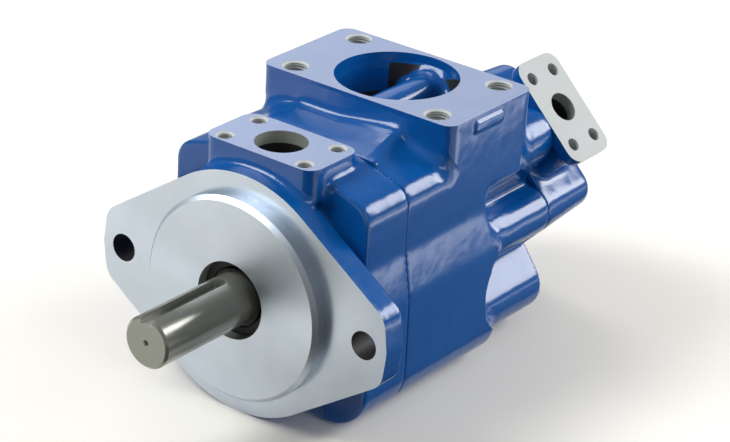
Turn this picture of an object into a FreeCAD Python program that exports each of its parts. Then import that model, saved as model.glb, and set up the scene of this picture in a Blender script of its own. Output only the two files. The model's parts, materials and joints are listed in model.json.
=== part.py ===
import FreeCAD, Part
import math
import os

# A double hydraulic vane pump: two balanced vane cartridges on one shaft in three castings.
# X runs across the two mounting holes, Y along the shaft towards the rear, Z up.
# The origin is on the shaft axis, in the face that the mounting flange seats on.

# Mounting flange
PILOT_R = 63.5
PILOT_HEIGHT = 9.5
PILOT_CHAMFER = 2.6
MOUNT_SPACING = 181.0
MOUNT_HOLE_R = 8.75
FLANGE_THICK = 17.0
FLANGE_DISC_R = 76.0
EAR_MARGIN = 16.0
EAR_HALF_HEIGHT = 27.0
EAR_CORNER_R = 14.0
EAR_END_R = 20.0
EAR_END_CROWN = 1.6

# Casing section, the same from the front body to the rear shoulder
SIDE_LOW = 76.0
SIDE_HIGH = 71.5
SIDE_STEP_Z = 2.0
SIDE_STEP_RISE = 28.0
CASING_BOTTOM = 75.0
CASING_TOP = 79.0
SHOULDER_Z = 68.0
CREST_HALF = 34.0
CORNER_LOW_R = 27.0
CORNER_HIGH_R = 14.0
SOFT_R = 30.0

# Lengths along the shaft
CASING_FRONT_Y = 24.0
SEAM_Y = 62.0
REAR_SECTION = 56.0
COVER_SEAM_Y = 214.0
COVER_DEPTH = 52.0
NECK_R = 69.0
FOOT_INNER_X = 45.5
FOOT_RISE = 7.0

# Scoops between the lobes, where the casing steps down to the rear section
SCOOP_R = 26.0
SCOOP_Z = 28.0
SCOOP_BEHIND = 11.0
SCOOP_FLOOR = 57.0

# Lobes that carry the screws
BODY_SCREW_R = 70.7
BODY_LOBE_R = 18.5
COVER_SCREW_R = 54.0
COVER_LOBE_R = 16.5
COVER_LOBE_REAR_R = 13.0
COVER_RIM_R = 5.0
REAR_CORE_R = 55.0
WAIST_R = 30.0

# Outlet 1, on top of the front body
OUT1_BORE_R = 15.875
OUT1_SPACING = (58.7, 30.2)
OUT1_TAP_R = 4.25
OUT1_FACE_Z = 86.5
OUT1_Y = 32.7
OUT1_PAD = (40.5, 22.3)
OUT1_PAD_CORNER_R = 9.0
OUT1_PAD_THICK = 22.0
OUT1_BORE_FLOOR_Z = 58.0
OUT1_WAY_R = 12.0
OUT1_WAY_FOOT_Z = 46.0

# Inlet, on top of the middle housing
INLET_BORE_R = 38.1
INLET_SPACING = (106.4, 61.9)
INLET_TAP_R = 7.0
INLET_FACE_Z = 95.5
INLET_Y = 141.5
INLET_PAD = (71.5, 42.0)
INLET_PAD_CORNER_R = 8.0
INLET_PAD_FOOT_Z = 40.0
INLET_RIM_DEPTH = 8.5
INLET_WELL_STEP = 0.6
INLET_FLOOR_Z = 60.0
INLET_WAY_INSET = 6.0
INLET_WAY_FOOT_Z = 20.0
WEB_HALF = 11.0
WEB_SINK = 0.7
WEB_CROWN_R = 9.5
WEB_FLARE_R = 8.0
RAMP_RISE = 9.0
RAMP_FRONT_HALF = 46.0
RAMP_REAR_HALF = 38.0
BLANK_PAD = (14.0, 3.0)
BLANK_PAD_AT = (137.0, 88.5)
BLANK_PAD_RAISE = 1.8

# Outlet 2, on the rear cover, turned half-way between the inlet's side and the mounting ear
OUT2_BORE_R = 9.525
OUT2_SPACING = (47.6, 22.2)
OUT2_TAP_R = 4.25
OUT2_FACE_R = 88.5
OUT2_BEHIND_SEAM = 20.8
OUT2_SHIFT = -3.0
OUT2_PAD = (35.5, 20.5)
OUT2_PAD_CORNER_R = 9.0
OUT2_PAD_THICK = 8.0
OUT2_NECK = (30.5, 17.0)
OUT2_NECK_CORNER_R = 7.0
OUT2_NECK_FOOT_R = 36.0
OUT2_ANGLE = 45.0

# Tapped holes of the port pads
TAP_DEPTH = 22.0
TAP_COUNTERSINK = 1.3

# Shaft
SHAFT_R = 15.875
SHAFT_END_Y = -81.0
SHAFT_CHAMFER = 1.5
CENTRE_DRILL_R = 1.8
CENTRE_DRILL_DEPTH = 4.0
KEY_WIDTH = 7.94
KEY_DEPTH = 4.6
KEYWAY_END_Y = -16.0
JOURNAL_R = 17.5
JOURNAL_LEAD = 1.0
COLLAR_R = 21.0
COLLAR_WIDTH = 4.5
SHOULDER_GAP = 0.5
BUSH_SHANK_R = 17.0
REAR_SHANK_R = 12.2
REAR_JOURNAL_R = 11.0
REAR_JOURNAL_LEAD = 3.0
REAR_JOURNAL_LENGTH = 15.0

# Ball bearing, 35 by 72 by 17
BEARING_Y = 12.0
BEARING_WIDTH = 17.0
BEARING_OUTER_R = 36.0
BEARING_RING_WALL = 5.9
BALL_COUNT = 9
BALL_R = 5.5
BALL_GAP = 0.1
CAGE_HALF = 1.5
CAGE_WIDTH = 13.6

# Retaining rings
RING_THICK = 1.9
RING_DEPTH = 1.6
RING_REACH = 3.2
RING_GAP_DEG = 24.0

# Shaft seal
SEAL_R = 24.0
SEAL_WIDTH = 8.0
SEAL_RECESS = 7.0
SEAL_SHELL = 1.4
LIP_LENGTH = 5.6
LIP_EDGE = 4.6
LIP_ROOT = 2.0
LIP_THICK = 1.5
SPRING_R = 0.8
THROAT_R = 21.8
RELIEF_R = 27.0
RELIEF_DEPTH = 4.0

# Chambers and the rear bush
CHAMBER1_R = 51.0
CHAMBER1_GAP = 5.0
INLET_CHAMBER_R = 50.0
REAR_LIP = 4.0
CHAMBER2_R = 34.0
REAR_BUSH_WALL = 4.0
REAR_BUSH_LEN = 12.0
REAR_WALL = 7.5

# Cartridge pockets
FRONT_POCKET_R = 57.0
FRONT_POCKET_DEPTH = 16.0
REAR_POCKET_R = 43.0
SPIGOT_LENGTH = 8.0

# Cartridges: everything inside the ring follows from these
FRONT_KIT = {"ring_r": 56.0, "cam_r": 36.0, "cam_rise": 4.0, "vane_thick": 4.8,
             "hub_wall": 4.1, "plate": 12.0, "port_half": 3.9, "side": 4.0, "width": 34.0, "pin_r": 3.0,
             "pin_at": 48.0, "screw": {"r": 3.0, "head_r": 5.0, "head": 6.0},
             "tooth_r": 18.8, "root_r": 17.2}
REAR_KIT = {"ring_r": 42.2, "cam_r": 27.0, "cam_rise": 3.4, "vane_thick": 3.2,
            "hub_wall": 4.4, "plate": 11.0, "port_half": 2.9, "side": 3.5, "width": 25.0, "pin_r": 2.0,
            "pin_at": 35.6, "screw": {"r": 2.0, "head_r": 3.5, "head": 4.0},
            "tooth_r": 14.0, "root_r": 12.7}
VANE_COUNT = 12
SPLINE_TEETH = 12
BUSH_WALL = 3.0
PLATE_SEAL_R = 1.5
BACKUP_THICK = 1.2
SIDE_PORT_EXTRA = 0.6
PIN_INSET = 2.0
PORT_SPAN_DEG = 44.0
PORT_INSET = 1.0
OUTLET_PORTS = (45, 225)
INLET_PORTS = (135, 315)
PIN_ANGLES = (0, 180)
KIT_SCREW_ANGLES = (90, 270)

# Fits and running gaps
FIT = 0.05
RUNNING_FIT = 0.06
THREAD_FIT = 0.02
FACE_GAP = 0.04
TIP_GAP = 0.1
VANE_FIT = 0.03
SLOT_GAP = 0.3
SPLINE_FIT = 0.05

# Screws and joint rings
BODY_SCREW = {"r": 8.0, "head_r": 12.0, "head": 16.0}
BODY_SCREW_SEAT_DEPTH = 18.0
BODY_SCREW_GRIP = 24.0
COVER_SCREW = {"r": 6.0, "head_r": 9.0, "head": 12.0}
COVER_SCREW_SEAT_DEPTH = 17.0
COVER_SCREW_GRIP = 24.0
SCREW_CLEARANCE = 0.6
KIT_SCREW_CLEARANCE = 0.25
TAP_RUNOUT = 3.0
JOINT_RING_R = 1.1
JOINT1_R = 59.8
JOINT2_R = 45.6

# Values that follow from those above
MOUNT_X = MOUNT_SPACING / 2
EAR_REACH = MOUNT_X + EAR_MARGIN
COVER_END_Y = COVER_SEAM_Y + COVER_DEPTH
SHOULDER_END_Y = COVER_SEAM_Y - REAR_SECTION
SCOOP_Y = SHOULDER_END_Y + SCOOP_BEHIND
INLET_RIM_Z = INLET_FACE_Z - INLET_RIM_DEPTH
INLET_WELL_R = INLET_BORE_R - INLET_WELL_STEP
WEB_TOP_Z = INLET_RIM_Z - WEB_SINK
RAMP_TOP_Z = CASING_TOP + RAMP_RISE
BODY_SCREW_SEAT_Y = COVER_SEAM_Y - BODY_SCREW_SEAT_DEPTH
BODY_SCREW_END_Y = SEAM_Y - BODY_SCREW_GRIP
COVER_SCREW_SEAT_Y = COVER_END_Y - COVER_SCREW_SEAT_DEPTH
COVER_SCREW_END_Y = COVER_SEAM_Y - COVER_SCREW_GRIP
SEAL_FRONT_Y = SEAL_RECESS - PILOT_HEIGHT
JOURNAL_FRONT_Y = SEAL_FRONT_Y - JOURNAL_LEAD
BALL_PITCH_R = (BEARING_OUTER_R + JOURNAL_R) / 2
INNER_RACE_R = JOURNAL_R + BEARING_RING_WALL
OUTER_RACE_R = BEARING_OUTER_R - BEARING_RING_WALL
BEARING_END_Y = BEARING_Y + BEARING_WIDTH
REAR_BUSH_Y = COVER_END_Y - REAR_WALL - REAR_BUSH_LEN
REAR_JOURNAL_Y = REAR_BUSH_Y - REAR_JOURNAL_LEAD
SHAFT_REAR_Y = REAR_JOURNAL_Y + REAR_JOURNAL_LENGTH
FRONT_POCKET_Y = SEAM_Y - FRONT_POCKET_DEPTH
CHAMBER1_Y = BEARING_END_Y + CHAMBER1_GAP
FRONT_SIDE_Y = FRONT_POCKET_Y + FRONT_KIT["plate"]
FRONT_RING_Y = FRONT_SIDE_Y + FRONT_KIT["side"]
FRONT_REAR_SIDE_Y = FRONT_RING_Y + FRONT_KIT["width"]
FRONT_INLET_PLATE_Y = FRONT_REAR_SIDE_Y + FRONT_KIT["side"]
FRONT_KIT_END_Y = FRONT_INLET_PLATE_Y + FRONT_KIT["plate"]
REAR_KIT_END_Y = COVER_SEAM_Y - SPIGOT_LENGTH
REAR_OUTLET_PLATE_Y = REAR_KIT_END_Y - REAR_KIT["plate"]
REAR_REAR_SIDE_Y = REAR_OUTLET_PLATE_Y - REAR_KIT["side"]
REAR_RING_Y = REAR_REAR_SIDE_Y - REAR_KIT["width"]
REAR_SIDE_Y = REAR_RING_Y - REAR_KIT["side"]
REAR_POCKET_Y = REAR_SIDE_Y - REAR_KIT["plate"]
QUARTER = (45, 135, 225, 315)
CROSS = (0, 90, 180, 270)
OUT2_N = (math.cos(math.radians(OUT2_ANGLE)), 0, math.sin(math.radians(OUT2_ANGLE)))
OUT2_U = (OUT2_N[2], 0, -OUT2_N[0])
OUT2_AT = [OUT2_FACE_R * OUT2_N[0] + OUT2_SHIFT * OUT2_U[0], COVER_SEAM_Y + OUT2_BEHIND_SEAM,
           OUT2_FACE_R * OUT2_N[2] + OUT2_SHIFT * OUT2_U[2]]
UP = (0, 0, 1)
ACROSS = (1, 0, 0)
ALONG = (0, 1, 0)

os.makedirs("parts", exist_ok=True)


def V(x, y, z):
    return FreeCAD.Vector(x, y, z)


def polar(radius, degrees):
    return radius * math.cos(math.radians(degrees)), radius * math.sin(math.radians(degrees))


def rod(radius, y0, y1, x=0.0, z=0.0):
    return Part.makeCylinder(radius, y1 - y0, V(x, y0, z), V(0, 1, 0))


def tube(outer, inner, y0, y1):
    return rod(outer, y0, y1).cut(rod(inner, y0 - 1, y1 + 1))


def hoop(radius, section, y):
    """A round-section ring about the shaft axis."""
    return Part.makeTorus(radius, section, V(0, y, 0), V(0, 1, 0))


def fused(shapes):
    return shapes[0].multiFuse(shapes[1:]).removeSplitter()


def less(shape, cuts):
    return shape.cut(cuts[0].multiFuse(cuts[1:]))


def turned(points):
    """A solid of revolution about the shaft axis, from (radius, y) corners."""
    wire = Part.makePolygon([V(r, y, 0) for r, y in points + points[:1]])
    return Part.Face(wire).revolve(V(0, 0, 0), V(0, 1, 0), 360)


def spun(shape, degrees):
    """A copy turned about the shaft axis, from +X towards +Z."""
    copy = shape.copy()
    copy.rotate(V(0, 0, 0), V(0, 1, 0), -degrees)
    return copy


def belt(circles):
    """Outline pulled round circles (a, b, radius), anticlockwise, as (start, middle, end) pieces."""
    joins = []
    for i, (a0, b0, r0) in enumerate(circles):
        a1, b1, r1 = circles[(i + 1) % len(circles)]
        gap = math.hypot(a1 - a0, b1 - b0)
        normal = math.atan2(b1 - b0, a1 - a0) - math.acos((r0 - r1) / gap)
        ca, sa = math.cos(normal), math.sin(normal)
        joins.append(((a0 + r0 * ca, b0 + r0 * sa), (a1 + r1 * ca, b1 + r1 * sa), normal))
    pieces = []
    for i, (a, b, r) in enumerate(circles):
        before, after = joins[i - 1], joins[i]
        middle = before[2] + ((after[2] - before[2]) % (2 * math.pi)) / 2
        pieces.append((before[1], (a + r * math.cos(middle), b + r * math.sin(middle)), after[0]))
        pieces.append((after[0], None, after[1]))
    return pieces


def corners(points):
    """Outline through (a, b, radius) corners, anticlockwise, each corner rounded."""
    count = len(points)
    rounds = []
    for i, (a, b, r) in enumerate(points):
        back = math.atan2(points[i - 1][1] - b, points[i - 1][0] - a)
        on = math.atan2(points[(i + 1) % count][1] - b, points[(i + 1) % count][0] - a)
        half = abs((on - back + math.pi) % (2 * math.pi) - math.pi) / 2
        reach = r / math.tan(half)
        bulge = r / math.sin(half) - r
        middle = math.atan2(math.sin(back) + math.sin(on), math.cos(back) + math.cos(on))
        rounds.append(((a + reach * math.cos(back), b + reach * math.sin(back)),
                       (a + bulge * math.cos(middle), b + bulge * math.sin(middle)),
                       (a + reach * math.cos(on), b + reach * math.sin(on))))
    pieces = []
    for i, arc in enumerate(rounds):
        pieces.append(arc)
        pieces.append((arc[2], None, rounds[(i + 1) % count][0]))
    return pieces


def rounded(half_a, half_b, corner):
    """Outline of a rectangle with round corners."""
    a, b = half_a - corner, half_b - corner
    return belt([(a, -b, corner), (a, b, corner), (-a, b, corner), (-a, -b, corner)])


def mirrored(points):
    """Close a right-hand half outline, from bottom to top, with its mirror image."""
    return points + [(-a, b, r) for a, b, r in reversed(points)]


def wire_in(pieces, origin, a_axis, b_axis):
    """An outline laid in the plane through origin along two axes."""
    o, a, b = V(*origin), V(*a_axis), V(*b_axis)
    edges = []
    for start, middle, end in pieces:
        p = o + a * start[0] + b * start[1]
        q = o + a * end[0] + b * end[1]
        if (p - q).Length < 1e-6:
            continue
        if middle is None:
            edges.append(Part.LineSegment(p, q).toShape())
        else:
            edges.append(Part.Arc(p, o + a * middle[0] + b * middle[1], q).toShape())
    return Part.Wire(edges)


def slab(pieces, origin, a_axis, b_axis, push):
    """An outline pushed along a vector."""
    return Part.Face(wire_in(pieces, origin, a_axis, b_axis)).extrude(V(*push))


def slab_y(pieces, y0, y1):
    return slab(pieces, (0, y0, 0), ACROSS, UP, (0, y1 - y0, 0))


def pad(size, corner, thick, origin, a_axis, outward):
    """A port pad, standing down from its face."""
    return slab(rounded(size[0], size[1], corner), origin, a_axis, ALONG,
                [-c * thick for c in outward])


def tapped(radius, at, outward, countersink):
    """A blind tapped hole, as a cutting shape."""
    n = V(*outward)
    hole = Part.makeCylinder(radius, TAP_DEPTH + 1, V(*at) + n, n * -1)
    if countersink == 0:
        return hole
    flare = countersink + 1
    return hole.fuse(Part.makeCone(radius + flare, radius, flare, V(*at) + n, n * -1))


def tapped_pattern(spacing, radius, centre, a_axis, outward, countersink):
    cuts = []
    for a in (-spacing[0] / 2, spacing[0] / 2):
        for b in (-spacing[1] / 2, spacing[1] / 2):
            at = [centre[i] + a * a_axis[i] + b * ALONG[i] for i in range(3)]
            cuts.append(tapped(radius, at, outward, countersink))
    return cuts


def screw(size, x, z, seat_y, end_y):
    """A socket head screw that points forwards, with its head behind the seat."""
    r, head_r, head = size["r"], size["head_r"], size["head"]
    top = rod(head_r, seat_y, seat_y + head, x, z)
    rim = [e for e in top.Edges if e.BoundBox.YMin > seat_y + head - 0.01]
    top = top.makeChamfer(head * 0.06, rim)
    hexagon = []
    for k in range(7):
        a, b = polar(r * 0.85, 60 * k)
        hexagon.append(V(x + a, seat_y + head / 2, z + b))
    socket = Part.Face(Part.makePolygon(hexagon)).extrude(V(0, head, 0))
    return rod(r, end_y, seat_y + 0.5, x, z).fuse(top).removeSplitter().cut(socket)


def kidney(radius, half_width, from_deg, to_deg, y0, y1):
    """A slot bent round the shaft axis with round ends, as a cutting shape."""
    wedge = Part.makeCylinder(radius + half_width, y1 - y0, V(0, 0, 0), V(*UP), to_deg - from_deg)
    sector = wedge.cut(Part.makeCylinder(radius - half_width, y1 - y0, V(0, 0, 0), V(*UP)))
    sector.rotate(V(0, 0, 0), V(*UP), from_deg)
    sector.rotate(V(0, 0, 0), V(*ACROSS), 90)
    sector.translate(V(0, y1, 0))
    ends = [rod(half_width, y0, y1, *polar(radius, angle)) for angle in (from_deg, to_deg)]
    return sector.multiFuse(ends)


# Casing outline: a rounded square, a little wider below, with sloping shoulders
CASING = corners(mirrored([
    (SIDE_LOW, -CASING_BOTTOM, CORNER_LOW_R),
    (SIDE_LOW, SIDE_STEP_Z, SOFT_R),
    (SIDE_HIGH, SIDE_STEP_Z + SIDE_STEP_RISE, SOFT_R),
    (SIDE_HIGH, SHOULDER_Z, CORNER_HIGH_R),
    (CREST_HALF, CASING_TOP, SOFT_R)]))


def ear_outline():
    """The two-hole mounting flange: a disc pulled out to an ear on each side."""
    corner_x = EAR_REACH - EAR_END_CROWN - EAR_CORNER_R
    corner_z = EAR_HALF_HEIGHT - EAR_CORNER_R
    right = [(corner_x, -corner_z, EAR_CORNER_R), (EAR_REACH - EAR_END_R, 0, EAR_END_R),
             (corner_x, corner_z, EAR_CORNER_R)]
    left = [(-a, -b, r) for a, b, r in right]
    disc = (0, 0, FLANGE_DISC_R)
    return belt(right + [disc] + left + [disc])


def front_body():
    pilot = rod(PILOT_R, -PILOT_HEIGHT, 1)
    pilot = pilot.makeChamfer(PILOT_CHAMFER, [e for e in pilot.Edges if e.BoundBox.YMax < 0])
    face = (0, OUT1_Y, OUT1_FACE_Z)
    solid = fused([
        slab_y(ear_outline(), 0, FLANGE_THICK),
        pilot,
        rod(NECK_R, FLANGE_THICK - 1, CASING_FRONT_Y + 1),
        slab_y(CASING, CASING_FRONT_Y, SEAM_Y),
        pad(OUT1_PAD, OUT1_PAD_CORNER_R, OUT1_PAD_THICK, face, ACROSS, UP)])
    cuts = [
        rod(MOUNT_HOLE_R, -1, FLANGE_THICK + 1, MOUNT_X, 0),
        rod(MOUNT_HOLE_R, -1, FLANGE_THICK + 1, -MOUNT_X, 0),
        rod(SEAL_R, -PILOT_HEIGHT - 1, SEAL_FRONT_Y + SEAL_WIDTH + FIT),
        rod(THROAT_R, 0, BEARING_Y + 1),
        rod(RELIEF_R, BEARING_Y - RELIEF_DEPTH, BEARING_Y + 1),
        rod(BEARING_OUTER_R + FIT, BEARING_Y, CHAMBER1_Y + 1),
        rod(BEARING_OUTER_R + RING_DEPTH + FIT, BEARING_END_Y, BEARING_END_Y + RING_THICK + 2 * FIT),
        rod(CHAMBER1_R, CHAMBER1_Y, FRONT_POCKET_Y + 1),
        rod(FRONT_POCKET_R, FRONT_POCKET_Y, SEAM_Y + 1),
        Part.makeBox(2 * FOOT_INNER_X, SEAM_Y - CASING_FRONT_Y + 2, FOOT_RISE + 1,
                     V(-FOOT_INNER_X, CASING_FRONT_Y - 1, -CASING_BOTTOM - 1)),
        Part.makeCylinder(OUT1_BORE_R, OUT1_FACE_Z - OUT1_BORE_FLOOR_Z,
                          V(0, OUT1_Y, OUT1_BORE_FLOOR_Z), V(*UP)),
        Part.makeCylinder(OUT1_WAY_R, OUT1_BORE_FLOOR_Z - OUT1_WAY_FOOT_Z + 1,
                          V(0, OUT1_Y, OUT1_WAY_FOOT_Z), V(*UP))]
    cuts += tapped_pattern(OUT1_SPACING, OUT1_TAP_R, face, ACROSS, UP, TAP_COUNTERSINK)
    for angle in QUARTER:
        x, z = polar(BODY_SCREW_R, angle)
        cuts.append(rod(BODY_SCREW["r"] + THREAD_FIT, BODY_SCREW_END_Y - TAP_RUNOUT, SEAM_Y + 1, x, z))
    return less(solid, cuts)


def scooped_shoulder():
    """The full casing section, ending at the rear in scoops between the screw lobes."""
    scoops = []
    for side in (-1, 1):
        for z in (-SCOOP_Z, SCOOP_Z):
            scoops.append(Part.makeCylinder(SCOOP_R, SIDE_LOW, V(side * SCOOP_FLOOR, SCOOP_Y, z),
                                            V(side, 0, 0)))
    for x in (-SCOOP_Z, SCOOP_Z):
        scoops.append(Part.makeCylinder(SCOOP_R, SIDE_LOW, V(x, SCOOP_Y, -SCOOP_FLOOR), V(0, 0, -1)))
    return less(slab_y(CASING, SEAM_Y, SHOULDER_END_Y), scoops)


def inlet_well():
    """The inlet bore, parted under its rim by a web with a round crown, and a way down each side."""
    well = Part.makeCylinder(INLET_WELL_R, INLET_RIM_Z - INLET_FLOOR_Z + 1,
                             V(0, INLET_Y, INLET_FLOOR_Z), V(*UP))
    foot = INLET_FLOOR_Z - 5
    web = [slab(corners([(WEB_HALF, foot, 1), (WEB_HALF, WEB_TOP_Z, WEB_CROWN_R),
                         (-WEB_HALF, WEB_TOP_Z, WEB_CROWN_R), (-WEB_HALF, foot, 1)]),
                (0, INLET_Y - 2 * INLET_BORE_R, 0), ACROSS, UP, (0, 4 * INLET_BORE_R, 0))]
    turn_x = WEB_HALF + WEB_FLARE_R
    turn_r = INLET_WELL_R - WEB_FLARE_R
    turn_y = math.sqrt(turn_r ** 2 - turn_x ** 2)
    flare_x = turn_x * INLET_WELL_R / turn_r
    rise = WEB_TOP_Z - WEB_CROWN_R - foot
    for side in (-1, 1):
        for end in (-1, 1):
            y = INLET_Y + min(end * turn_y, end * (turn_y + INLET_BORE_R))
            corner = Part.makeBox(flare_x, INLET_BORE_R, rise, V(min(0, side * flare_x), y, foot))
            web.append(corner.cut(Part.makeCylinder(
                WEB_FLARE_R, rise + 2, V(side * turn_x, INLET_Y + end * turn_y, foot - 1), V(*UP))))
    shapes = [well.cut(web[0].multiFuse(web[1:])),
              Part.makeCylinder(INLET_BORE_R, INLET_RIM_DEPTH + 1, V(0, INLET_Y, INLET_RIM_Z), V(*UP))]
    y0 = FRONT_KIT_END_Y + INLET_WAY_INSET / 2
    y1 = REAR_POCKET_Y - REAR_LIP - INLET_WAY_INSET / 2
    width = INLET_BORE_R - INLET_WAY_INSET - WEB_HALF
    for x in (WEB_HALF, -WEB_HALF - width):
        shapes.append(Part.makeBox(width, y1 - y0, INLET_FLOOR_Z + 1 - INLET_WAY_FOOT_Z,
                                   V(x, y0, INLET_WAY_FOOT_Z)))
    return shapes


def inlet_ramp():
    """The crest's sweep up to the inlet pad, drawn in towards the pad."""
    y0, y1 = SEAM_Y, INLET_Y - INLET_PAD[1] + 1
    run = y1 - y0
    foot = SHOULDER_Z - RAMP_RISE
    rise = [((y1, foot), None, (y1, RAMP_TOP_Z)),
            ((y1, RAMP_TOP_Z), (y0 + run / 2, CASING_TOP + RAMP_RISE / 4), (y0, CASING_TOP)),
            ((y0, CASING_TOP), None, (y0, foot)), ((y0, foot), None, (y1, foot))]
    sweep = slab(rise, (-RAMP_FRONT_HALF, 0, 0), ALONG, UP, (2 * RAMP_FRONT_HALF, 0, 0))
    plan = [((-RAMP_FRONT_HALF, y0), None, (RAMP_FRONT_HALF, y0)),
            ((RAMP_FRONT_HALF, y0), None, (RAMP_REAR_HALF, y1)),
            ((RAMP_REAR_HALF, y1), None, (-RAMP_REAR_HALF, y1)),
            ((-RAMP_REAR_HALF, y1), None, (-RAMP_FRONT_HALF, y0))]
    return sweep.common(slab(plan, (0, 0, 0), ACROSS, ALONG, (0, 0, RAMP_TOP_Z + 1)))


def middle_housing():
    face = (0, INLET_Y, INLET_FACE_Z)
    start = SHOULDER_END_Y - SCOOP_R
    shapes = [
        scooped_shoulder(),
        rod(REAR_CORE_R, start, COVER_SEAM_Y),
        pad(INLET_PAD, INLET_PAD_CORNER_R, INLET_FACE_Z - INLET_PAD_FOOT_Z, face, ACROSS, UP),
        inlet_ramp(),
        slab(rounded(*BLANK_PAD, BLANK_PAD[1] / 2), (INLET_PAD[0] - 1, *BLANK_PAD_AT), ALONG, UP,
             (BLANK_PAD_RAISE + 1, 0, 0))]
    for angle in QUARTER:
        lobe = polar(BODY_SCREW_R, angle) + (BODY_LOBE_R,)
        shapes.append(slab_y(belt([(0, 0, WAIST_R), lobe]), start, COVER_SEAM_Y))
    for angle in CROSS:
        lobe = polar(COVER_SCREW_R, angle) + (COVER_LOBE_R,)
        shapes.append(slab_y(belt([(0, 0, WAIST_R), lobe]), start, COVER_SEAM_Y))
    groove = 2 * JOINT_RING_R + FIT
    cuts = inlet_well() + [
        rod(FRONT_POCKET_R, SEAM_Y - 1, FRONT_KIT_END_Y),
        rod(INLET_CHAMBER_R, FRONT_KIT_END_Y - 1, REAR_POCKET_Y - REAR_LIP),
        rod(REAR_POCKET_R - REAR_LIP, REAR_POCKET_Y - REAR_LIP - 1, REAR_POCKET_Y + 1),
        rod(REAR_POCKET_R, REAR_POCKET_Y, COVER_SEAM_Y + 1),
        tube(JOINT1_R + groove / 2, JOINT1_R - groove / 2, SEAM_Y - 1, SEAM_Y + groove),
        tube(JOINT2_R + groove / 2, JOINT2_R - groove / 2, COVER_SEAM_Y - groove, COVER_SEAM_Y + 1)]
    cuts += tapped_pattern(INLET_SPACING, INLET_TAP_R, face, ACROSS, UP, TAP_COUNTERSINK)
    for angle in QUARTER:
        x, z = polar(BODY_SCREW_R, angle)
        cuts.append(rod(BODY_SCREW["r"] + SCREW_CLEARANCE, SEAM_Y - 1, COVER_SEAM_Y, x, z))
        cuts.append(rod(BODY_SCREW["head_r"] + SCREW_CLEARANCE, BODY_SCREW_SEAT_Y, COVER_SEAM_Y + 1, x, z))
    for angle in CROSS:
        x, z = polar(COVER_SCREW_R, angle)
        cuts.append(rod(COVER_SCREW["r"] + THREAD_FIT, COVER_SCREW_END_Y - TAP_RUNOUT,
                        COVER_SEAM_Y + 1, x, z))
    return less(fused(shapes), cuts)


def rear_cover():
    fronts = [polar(COVER_SCREW_R, a) + (COVER_LOBE_R,) for a in CROSS]
    rears = [polar(COVER_SCREW_R, a) + (COVER_LOBE_REAR_R,) for a in CROSS]
    block = Part.makeLoft([wire_in(belt(fronts), (0, COVER_SEAM_Y, 0), ACROSS, UP),
                           wire_in(belt(rears), (0, COVER_END_Y, 0), ACROSS, UP)], True, True)
    block = block.makeFillet(COVER_RIM_R, [e for e in block.Edges if e.BoundBox.YMin > COVER_END_Y - 0.01])
    neck = pad(OUT2_NECK, OUT2_NECK_CORNER_R, OUT2_FACE_R - OUT2_NECK_FOOT_R, OUT2_AT, OUT2_U, OUT2_N)
    top = pad(OUT2_PAD, OUT2_PAD_CORNER_R, OUT2_PAD_THICK, OUT2_AT, OUT2_U, OUT2_N)
    inward = V(*OUT2_N) * -1
    cuts = [
        Part.makeCylinder(OUT2_BORE_R, OUT2_FACE_R - CHAMBER2_R / 2, V(*OUT2_AT) - inward, inward),
        rod(CHAMBER2_R, REAR_KIT_END_Y, REAR_BUSH_Y - 2),
        rod(REAR_JOURNAL_R + REAR_BUSH_WALL, REAR_BUSH_Y - 3, REAR_BUSH_Y + REAR_BUSH_LEN + FIT)]
    cuts += tapped_pattern(OUT2_SPACING, OUT2_TAP_R, OUT2_AT, OUT2_U, OUT2_N, 0)
    for angle in CROSS:
        x, z = polar(COVER_SCREW_R, angle)
        cuts.append(rod(COVER_SCREW["r"] + SCREW_CLEARANCE, COVER_SEAM_Y - 1, COVER_END_Y, x, z))
        cuts.append(rod(COVER_SCREW["head_r"] + SCREW_CLEARANCE, COVER_SCREW_SEAT_Y, COVER_END_Y + 1, x, z))
    spigot = rod(REAR_POCKET_R - FIT, REAR_KIT_END_Y + FACE_GAP, COVER_SEAM_Y + 1)
    return less(fused([block, spigot, neck, top]), cuts)


def spline(kit, y0, y1, clearance):
    """Straight-sided spline teeth on a root cylinder; clearance grows it into a cutting shape."""
    tooth_r = kit["tooth_r"] + clearance
    width = math.pi * kit["root_r"] / SPLINE_TEETH + 2 * clearance
    bar = Part.makeBox(tooth_r, y1 - y0, width, V(0, y0, -width / 2))
    teeth = [spun(bar, 360 / SPLINE_TEETH * k) for k in range(SPLINE_TEETH)]
    core = rod(kit["root_r"] + clearance, y0, y1)
    return core.multiFuse(teeth).common(rod(tooth_r, y0, y1))


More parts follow.
